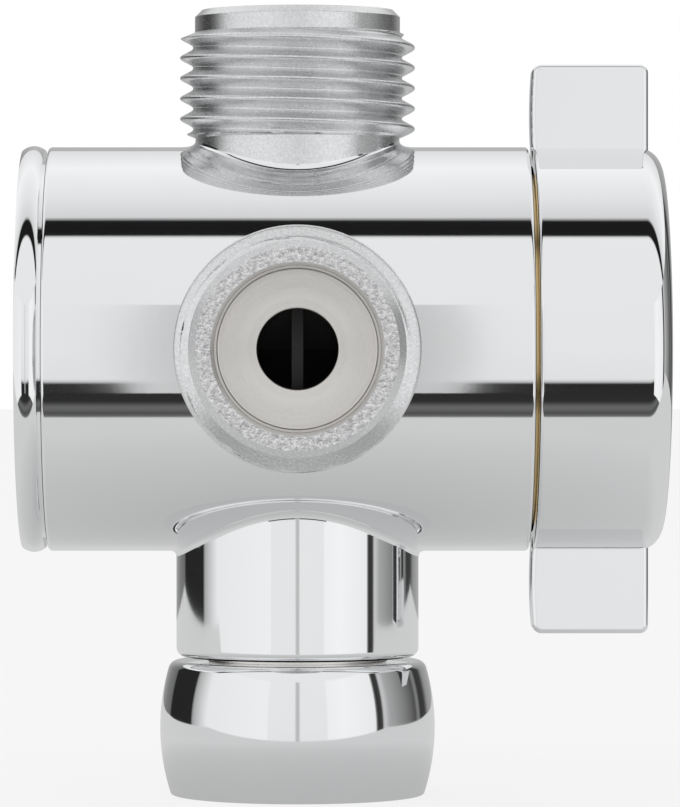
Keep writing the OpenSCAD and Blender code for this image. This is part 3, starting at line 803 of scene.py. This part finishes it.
def makeEndCap():
    c = cap
    crownRadius = ((c["rimWidth"] / 2) ** 2 + c["crown"] ** 2) / (2 * c["crown"])
    tilt = math.degrees(math.asin(c["rimWidth"] / 2 / crownRadius))
    rimMiddle = c["rimStart"] - c["rimWidth"] / 2
    faceRadius = c["rimRadius"] - c["crown"]
    faceX = c["rimStart"] - c["rimWidth"]
    domeRadius = (faceRadius ** 2 + c["dome"] ** 2) / (2 * c["dome"])
    lean = math.degrees(math.asin(faceRadius / domeRadius))
    runs = [arcRun((0, faceX - c["dome"] + domeRadius), domeRadius, -90, -90 + lean, 12),
            arcRun((c["rimRadius"] - crownRadius, rimMiddle), crownRadius, -tilt, tilt, 16)]
    runs += profile([
        (faceRadius, c["rimStart"]), (c["landRadius"], c["rimStart"]), (c["landRadius"], c["landEnd"]),
        (c["plugRadius"], c["landEnd"]), (c["plugRadius"], c["grooveMiddle"] - c["grooveHalf"], 0.1),
        (c["grooveRadius"], c["grooveMiddle"] - c["grooveHalf"], 0.1),
        (c["grooveRadius"], c["grooveMiddle"] + c["grooveHalf"], 0.1),
        (c["plugRadius"], c["grooveMiddle"] + c["grooveHalf"], 0.1), (c["plugRadius"], c["plugEnd"], 0.3),
        (c["hollowRadius"], c["plugEnd"], 0.3), (c["hollowRadius"], c["hollowEnd"], 0.5), (0, c["hollowEnd"])])
    piece = buildPiece("plated_end_cap", turned(runs, barrelAxes, np.linspace(0, fullTurn, 193), polishedChrome),
                       [polishedChrome])
    stand(piece, "body", "chrome", "end_cap")


makeEndCap()
print("end cap made")

# The swivel nut: a bowed outside, a lip above and the pipe thread inside
nut = {
    "height": 11.95, "radius": 12.25, "bowRadius": 19.0, "bowMiddle": 6.0, "corner": 0.9, "lipBore": 8.0,
    "lipUnder": 10.1, "cavity": 9.7, "crests": 4, "firstCrest": 1.1, "minorRadius": 9.3155, "depth": 1.182,
    "mouthRadius": 10.65, "rimEdge": 0.25,
}


def nutThreadRadius(along, offset):
    n = nut
    inside = n["minorRadius"] + n["depth"] * (1 - crestShare(offset, thread))
    top = n["firstCrest"] + (n["crests"] - 1) * thread["pitch"] + 1
    closing = thread["cutRounding"]
    wide = n["cavity"] + (top - along) * thread["cut"]
    narrow = n["cavity"] - (top - along) * thread["cut"]
    inside = softMin(softMax(inside, narrow, closing), wide, closing)
    return softMax(inside, n["mouthRadius"] - along * thread["cut"], closing)


def makeSwivelNut():
    n = nut
    bowX = n["radius"] - n["bowRadius"]
    low = math.degrees(math.asin(n["bowMiddle"] / n["bowRadius"]))
    cornerZ = n["height"] - n["corner"]
    high = math.degrees(math.asin((cornerZ - n["bowMiddle"]) / (n["bowRadius"] - n["corner"])))
    cornerX = bowX + (n["bowRadius"] - n["corner"]) * math.cos(math.radians(high))
    edge = n["rimEdge"]
    lowEdge = math.degrees(math.asin((n["bowMiddle"] - edge) / (n["bowRadius"] - edge)))
    edgeX = bowX + (n["bowRadius"] - edge) * math.cos(math.radians(lowEdge))
    turn = np.linspace(0, fullTurn, body["divisions"] + 1)
    outside = [lineRun((n["mouthRadius"], 0), (edgeX, 0)), arcRun((edgeX, edge), edge, -90, -lowEdge, 6),
               arcRun((bowX, n["bowMiddle"]), n["bowRadius"], -lowEdge, high, 24),
               arcRun((cornerX, cornerZ), n["corner"], high, 90, 8)]
    outside += profile([(cornerX, n["height"]), (n["lipBore"], n["height"], 0.15),
                        (n["lipBore"], n["lipUnder"] + 0.3)])
    sheets = turned(outside, inletAxes, turn, polishedChrome)
    top = n["firstCrest"] + (n["crests"] - 1) * thread["pitch"] + 1
    sheets += turned(profile([(n["lipBore"], n["lipUnder"] + 0.3), (n["lipBore"], n["lipUnder"]),
                              (n["cavity"], n["lipUnder"], 0.3), (n["cavity"], top)]),
                     inletAxes, turn, turnedNickel)
    sheets.append(threadZone(inletAxes, thread, 0.0, top, n["firstCrest"], 270.0, nutThreadRadius, True,
                             turnedNickel))
    piece = buildPiece("plated_swivel_nut", sheets, [polishedChrome, turnedNickel])
    stand(piece, "nut", "chrome", "swivel_nut")


makeSwivelNut()
print("swivel nut made")

# The handle: a cup with two wings, a boss with a square socket and three stop ribs
handle = {
    "start": 20.9, "end": 32.4, "radius": 17.95, "wall": 1.65, "mouthEdge": 0.35, "endEdge": 2.1, "dome": 0.25,
    "floor": 30.2, "bossStart": 24.4, "bossRadius": 7.0, "socket": 6.1, "socketEnd": 27.6, "seat": 28.9,
    "screwHole": 2.15, "recess": 5.58, "wingTip": 25.3, "wingWidth": 10.3, "wingThick": 4.0, "wingEdge": 0.45,
    "wingCorner": 0.75, "wingFoot": 16.9, "wingBow": 0.2, "ribThick": 2.4, "ribStart": 22.2, "ribInner": 6.6,
    "ribAngles": (73.4, -73.4, 180),
}


# A slab with rounded edges between two flat faces. The outline is given with its outward normals.
def slab(name, outline, facing, half, edge, finish, ax):
    tilt = np.radians(np.linspace(-90, 90, 17))
    inset = edge * (1 - np.cos(tilt))
    lift = np.sign(tilt) * (half - edge) + edge * np.sin(tilt)
    flat = outline[None] - facing[None] * inset[:, None, None]
    middle = outline.mean(0)
    rows = [np.broadcast_to(middle, outline.shape)] + list(flat) + [np.broadcast_to(middle, outline.shape)]
    rows = np.array(rows)
    lifts = np.concatenate([[-half], lift, [half]])
    place = (ax["origin"] + rows[..., :1] * ax["side"] + rows[..., 1:] * ax["lift"]
             + lifts[:, None, None] * ax["along"])
    sheets = []
    zero = np.zeros((2, len(outline), 1))
    for part, sign in ((place[:2], -1), (place[-2:], 1)):
        sheets.append(sheet(part, zero + sign * ax["along"], finish))
    normals = (np.cos(tilt)[:, None, None] * (facing[None, :, :1] * ax["side"] + facing[None, :, 1:] * ax["lift"])
               + np.sin(tilt)[:, None, None] * ax["along"])
    sheets.append(sheet(place[1:-1], normals, finish))
    return buildPiece(name, sheets, [finish])


def roundedOutline(left, right, low, high, corner, bow):
    # a closed outline with rounded corners, its left side bowed outwards by a little
    runs = profile([(left, low, 0.5), (right, low, 0.5), (right, high, corner), (left, high, corner)],
                   closed=True, stepAngle=10)
    points = np.concatenate([np.linspace(r[0][0], r[0][-1], 13) if len(r[0]) == 2 else r[0] for r in runs])
    normals = np.concatenate([np.repeat(r[1][:1], 13, 0) if len(r[0]) == 2 else r[1] for r in runs])
    near = np.clip((right - points[:, 0]) / (right - left), 0, 1) ** 4
    way = (points[:, 1] - (low + high) / 2) / ((high - low) / 2)
    bulge = bow * near * np.clip(1 - way ** 2, 0, 1)
    slope = bow * near * np.where(np.abs(way) < 1, -2 * way, 0) / ((high - low) / 2)
    points = points - np.stack([bulge, 0 * bulge], -1)
    normals = normals + np.stack([0 * slope, -slope * normals[:, 0] * -1], -1)
    points = np.vstack([points, points[:1]])
    normals = np.vstack([normals, normals[:1]])
    return points, normals / lengthOf(normals)


def makeWing(direction):
    h = handle
    outline, facing = roundedOutline(h["start"] + 0.03, h["start"] + h["wingWidth"], h["wingFoot"] - 0.6,
                                     h["wingTip"], h["wingCorner"], h["wingBow"])
    ax = axes((0, 0, axisHeight), (1, 0, 0), (0, 0, direction), (0, -1, 0))
    return slab("wing", outline, facing, h["wingThick"] / 2, h["wingEdge"], handleChrome, ax)


def makeBlock(name, ax, sizeSide, sizeLift, low, high, finish):
    x, y = sizeSide / 2, sizeLift / 2
    corners = np.array([(-x, -y), (x, -y), (x, y), (-x, y), (-x, -y)])
    facing = np.array([(0, -1), (1, 0), (0, 1), (-1, 0)])
    sheets = []
    for i in range(4):
        edge = corners[i:i + 2]
        flat = ax["origin"] + edge[:, :1] * ax["side"] + edge[:, 1:] * ax["lift"]
        wall = np.stack([flat + low * ax["along"], flat + high * ax["along"]])
        sheets.append(sheet(wall, np.zeros(wall.shape) + facing[i, 0] * ax["side"] + facing[i, 1] * ax["lift"],
                            finish))
    for along, sign in ((low, -1), (high, 1)):
        grid = np.array([[corners[0], corners[1]], [corners[3], corners[2]]])
        flat = ax["origin"] + grid[..., :1] * ax["side"] + grid[..., 1:] * ax["lift"] + along * ax["along"]
        sheets.append(sheet(flat, np.zeros(flat.shape) + sign * ax["along"], finish))
    return buildPiece(name, sheets, [finish])


def makeHandle():
    h = handle
    cornerRadius = h["radius"] - h["endEdge"]
    domeRadius = (cornerRadius ** 2 + h["dome"] ** 2) / (2 * h["dome"])
    centre = h["end"] + h["dome"] - domeRadius
    lean = math.degrees(math.asin(cornerRadius / domeRadius))
    recessLean = math.degrees(math.asin(h["recess"] / domeRadius))
    recessX = centre + domeRadius * math.cos(math.radians(recessLean))
    cavity = h["radius"] - h["wall"]
    edge = h["mouthEdge"]
    runs = profile([(cavity, h["start"]), (h["radius"], h["start"], edge), (h["radius"], h["end"] - h["endEdge"])])
    runs.append(arcRun((cornerRadius, h["end"] - h["endEdge"]), h["endEdge"], 0, 90 - lean, 12))
    runs.append(arcRun((0, centre), domeRadius, 90 - lean, 90 - recessLean, 8))
    runs[-1] = (runs[-1][0] + (runs[-2][0][-1] - runs[-1][0][0]) * np.linspace(1, 0, 9)[:, None], runs[-1][1])
    inside = profile([
        (h["recess"], recessX), (h["recess"], h["seat"]), (h["screwHole"], h["seat"]),
        (h["screwHole"], h["bossStart"]), (h["bossRadius"], h["bossStart"], 0.3),
        (h["bossRadius"], h["floor"], 0.5), (cavity, h["floor"], 0.8), (cavity, h["start"])])
    angles = np.linspace(0, fullTurn, 193)
    cup = buildPiece("plated_handle", turned(runs + inside, barrelAxes, angles, handleChrome), [handleChrome])
    for direction in (1, -1):
        combine(cup, makeWing(direction), "UNION")
    for angle in h["ribAngles"]:
        a = math.radians(angle)
        middle = (h["ribInner"] + cavity + 0.3) / 2
        ax = axes((0, middle * math.cos(a), axisHeight + middle * math.sin(a)),
                  (0, math.cos(a), math.sin(a)), (0, -math.sin(a), math.cos(a)), (1, 0, 0))
        rib = makeBlock("rib", ax, cavity + 0.3 - h["ribInner"], h["ribThick"], h["ribStart"], h["floor"] + 0.2,
                        handleChrome)
        combine(cup, rib, "UNION")
    socket = makeBlock("socket", barrelAxes, h["socket"], h["socket"], h["bossStart"] - 1, h["socketEnd"],
                       handleChrome)
    combine(cup, socket, "DIFFERENCE")
    stand(cup, "handle", "handle_chrome", "handle")


makeHandle()
print("handle made")

# The push-in button over the handle's screw
button = {
    "radius": 5.5, "inside": 31.7, "skirtStart": 30.3, "skirtRadius": 4.6, "top": 33.15, "dome": 0.65,
    "edge": 0.25, "side": 32.5,
}


def makeButton():
    b = button
    flat = b["radius"] - b["edge"]
    domeRadius = (flat ** 2 + b["dome"] ** 2) / (2 * b["dome"])
    lean = math.degrees(math.asin(flat / domeRadius))
    edgeX = b["top"] - b["dome"]
    runs = profile([
        (0, b["inside"]), (b["skirtRadius"], b["inside"], 0.1), (b["skirtRadius"], b["skirtStart"]),
        (b["radius"] - 0.2, b["skirtStart"]), (b["radius"] - 0.05, b["skirtStart"] + 0.5, 0.2),
        (b["radius"] - 0.2, b["skirtStart"] + 0.9), (b["radius"] - 0.2, b["inside"]),
        (b["radius"], b["inside"]), (b["radius"], edgeX - b["edge"])])
    runs.append(arcRun((flat, edgeX - b["edge"]), b["edge"], 0, 90 - lean, 5))
    dome = arcRun((0, b["top"] - domeRadius), domeRadius, 90 - lean, 90, 10)
    shift = (runs[-1][0][-1] - dome[0][0]) * np.linspace(1, 0, 11)[:, None]
    runs.append((dome[0] + shift, dome[1]))
    piece = buildPiece("plated_handle_button", turned(runs, barrelAxes, np.linspace(0, fullTurn, 129),
                                                      handleChrome), [handleChrome])
    stand(piece, "handle", "handle_chrome", "handle_button")


makeButton()
print("button made")

# The inner pieces keep their solids and take their real finishes
innerFinishes = {
    "rotor": blackAcetal, "bonnet": turnedBrass, "spindle": turnedBrass, "thrust_washer": whiteAcetal,
    "end_cap_o_ring": sealRubber, "bonnet_o_ring": sealRubber, "rotor_o_ring_left": sealRubber,
    "rotor_o_ring_right": sealRubber, "spindle_o_ring_inner": sealRubber, "spindle_o_ring_outer": sealRubber,
    "seal_pad": sealRubber, "inlet_washer": sealRubber, "seal_pad_spring": brightSteel,
    "nut_retaining_ring": brightSteel, "inlet_screen": brightSteel, "handle_screw": brightSteel,
    "handle_screw_washer": brightSteel,
}
for nodeName, nodeFinish in innerFinishes.items():
    for i in range(len(frame["nodes"][nodeName].data.materials)):
        frame["nodes"][nodeName].data.materials[i] = nodeFinish
print("inner pieces finished")

# The studio: white all round, with the dark gaps between its panels that polished metal shows
studio = {
    "floorColor": (0.8, 0.8, 0.8), "floorSize": 3.0, "floorWhite": 0.8,
    # the table keys set a glowing sheet seen only in reflections, a painted reflection of a lit table whose glow dims
    # near the part as painted shade
    "paintedTableGlow": 0.66, "tableFar": 0.3, "tableNear": 0.059, "tableSide": 0.3,
    "worldStrength": 1.0, "lampPower": 0.6, "lampSize": 0.5, "lampPlace": (-0.25, -0.35, 0.7),
}
# Tones by the angle above the front horizon, in the plane across the barrel
frontTones = [(-180, 0.72), (-60, 0.62), (-40, 0.6), (-39, 0.3), (-37.5, 0.06), (-33, 0.16), (-30, 0.03), (-19, 0.02),
              (-18, 0.82), (0, 0.86), (64, 0.88), (66, 0.9), (66.6, 0.012), (78.5, 0.012), (79, 0.7), (95, 0.84),
              (125, 0.98), (150, 0.8), (180, 0.76)]
# Tones by the angle round from the front, for what stands to the sides
sideTones = [(-180, 0.5), (-150, 0.22), (-136, 0.15), (-134, 0.02), (-101, 0.02), (-99, 0.4), (-82, 0.88),
             (-2, 0.95), (-1.2, 0.5), (1.2, 0.5), (2, 0.88), (40, 0.98), (69, 0.9), (70.5, 0.03), (76, 0.05),
             (78, 0.65), (84, 0.4), (112, 0.14), (118, 0.08), (123, 0.25), (127, 0.04), (136, 0.05), (144, 0.3),
             (180, 0.5)]


def toneRamp(tree, angle, tones):
    ramp = addNode(tree, "ShaderNodeValToRGB", {"Fac": calc(tree, "ADD", calc(tree, "DIVIDE", angle, fullTurn), 0.5)})
    elements = ramp.color_ramp.elements
    while len(elements) > 1:
        elements.remove(elements[-1])
    elements[0].position = 0
    for i, (degrees, tone) in enumerate(tones):
        element = elements[0] if i == 0 else elements.new(degrees / 360 + 0.5)
        element.color = (tone, tone, tone * 1.004, 1)
    return ramp.outputs[0]


def makeWorld():
    world = bpy.data.worlds.new("studio")
    bpy.context.scene.world = world
    world.use_nodes = True
    tree = world.node_tree
    tree.nodes.clear()
    way = addNode(tree, "ShaderNodeTexCoord").outputs["Generated"]
    split = addNode(tree, "ShaderNodeSeparateXYZ", {"Vector": way}).outputs
    front = calc(tree, "MULTIPLY", split["Y"], -1)
    height = calc(tree, "ARCTAN2", split["Z"], front)
    around = calc(tree, "ARCTAN2", split["X"], front)
    overhead = toneRamp(tree, height, frontTones)
    sides = toneRamp(tree, around, sideTones)
    level = calc(tree, "LESS_THAN", calc(tree, "ABSOLUTE", split["Z"]), 0.42)
    aside = calc(tree, "GREATER_THAN", calc(tree, "ABSOLUTE", around), math.radians(25))
    slit = calc(tree, "LESS_THAN", calc(tree, "ABSOLUTE", around), math.radians(2))
    useSides = calc(tree, "MULTIPLY", level, calc(tree, "MAXIMUM", aside, slit))
    tone = blendColor(tree, useSides, overhead, sides)
    seen = addNode(tree, "ShaderNodeLightPath").outputs["Is Camera Ray"]
    tone = blendColor(tree, seen, tone, (1, 1, 1, 1))
    ground = addNode(tree, "ShaderNodeBackground", {"Color": tone, "Strength": studio["worldStrength"]})
    out = addNode(tree, "ShaderNodeOutputWorld")
    tree.links.new(ground.outputs[0], out.inputs["Surface"])


def makeFloor():
    finish = bpy.data.materials.new("paleFloor")
    finish.use_nodes = True
    tree = finish.node_tree
    shader = tree.nodes["Principled BSDF"]
    shader.inputs["Base Color"].default_value = (*studio["floorColor"], 1)
    shader.inputs["Roughness"].default_value = 0.9
    glow = addNode(tree, "ShaderNodeEmission", {"Color": (1, 1, 1, 1), "Strength": 1.0})
    seen = addNode(tree, "ShaderNodeLightPath").outputs["Is Camera Ray"]
    mix = addNode(tree, "ShaderNodeMixShader", {0: calc(tree, "MULTIPLY", seen, studio["floorWhite"])})
    tree.links.new(shader.outputs[0], mix.inputs[1])
    tree.links.new(glow.outputs[0], mix.inputs[2])
    tree.links.new(mix.outputs[0], tree.nodes["Material Output"].inputs["Surface"])
    floor = makePlane("floor", -studio["floorSize"], studio["floorSize"], -studio["floorSize"],
                      studio["floorSize"], 0.0, finish)
    floor.visible_glossy = False


def makePlane(name, left, right, near, far, height, finish):
    mesh = bpy.data.meshes.new(name)
    mesh.from_pydata([(left, near, height), (right, near, height), (right, far, height), (left, far, height)],
                     [], [(0, 1, 2, 3)])
    mesh.materials.append(finish)
    plane = bpy.data.objects.new(name, mesh)
    bpy.context.scene.collection.objects.link(plane)
    return plane


def makePaintedTableReflection():
    # the small glowing sheet that the metal reflects in place of a lit white table: a painted reflection, with
    # painted shade where its glow dims towards the part. It ends just in front of the part.
    finish = bpy.data.materials.new("paintedTableGlow")
    finish.use_nodes = True
    tree = finish.node_tree
    tree.nodes.remove(tree.nodes["Principled BSDF"])
    where = addNode(tree, "ShaderNodeTexCoord").outputs["Object"]
    away = addNode(tree, "ShaderNodeVectorMath", {0: where}, operation="LENGTH").outputs["Value"]
    # painted shade: the glow dims from its far level to 0.5 close to the part, standing in for the part's shadow on
    # the table
    tone = addNode(tree, "ShaderNodeMapRange", {
        "Value": away, "From Min": 0.01, "From Max": 0.05, "To Min": 0.5, "To Max": studio["paintedTableGlow"]})
    glow = addNode(tree, "ShaderNodeEmission", {"Strength": tone.outputs[0]})
    tree.links.new(glow.outputs[0], tree.nodes["Material Output"].inputs["Surface"])
    table = makePlane("table", -studio["tableSide"], studio["tableSide"], -studio["tableNear"],
                      studio["tableFar"], -0.0001, finish)
    for ray in ("camera", "diffuse", "shadow", "transmission", "volume_scatter"):
        setattr(table, "visible_" + ray, False)


def makeLamp():
    lamp = bpy.data.lights.new("softLamp", "AREA")
    lamp.size = studio["lampSize"]
    lamp.energy = studio["lampPower"]
    holder = bpy.data.objects.new("softLamp", lamp)
    holder.location = studio["lampPlace"]
    holder.rotation_euler = (math.radians(28), 0, math.radians(-35))
    holder.visible_glossy = False
    bpy.context.scene.collection.objects.link(holder)


makeWorld()
makeFloor()
makePaintedTableReflection()
makeLamp()
print("studio made")

# The camera stands level with the barrel's axis, straight in front of the front outlet
view = {"distance": 0.47, "lens": 234.83, "shiftX": 0.0527, "shiftY": -0.0675}
lens = bpy.data.cameras.new("camera")
lens.lens = view["lens"]
lens.sensor_width = 36
lens.shift_x = view["shiftX"]
lens.shift_y = view["shiftY"]
lens.clip_start = 0.01
camera = bpy.data.objects.new("camera", lens)
camera.location = (0, -view["distance"], axisHeight * mm)
camera.rotation_euler = (math.radians(90), 0, 0)
bpy.context.scene.collection.objects.link(camera)
bpy.context.scene.camera = camera
bpy.context.scene.view_settings.view_transform = "Standard"
print("camera set")
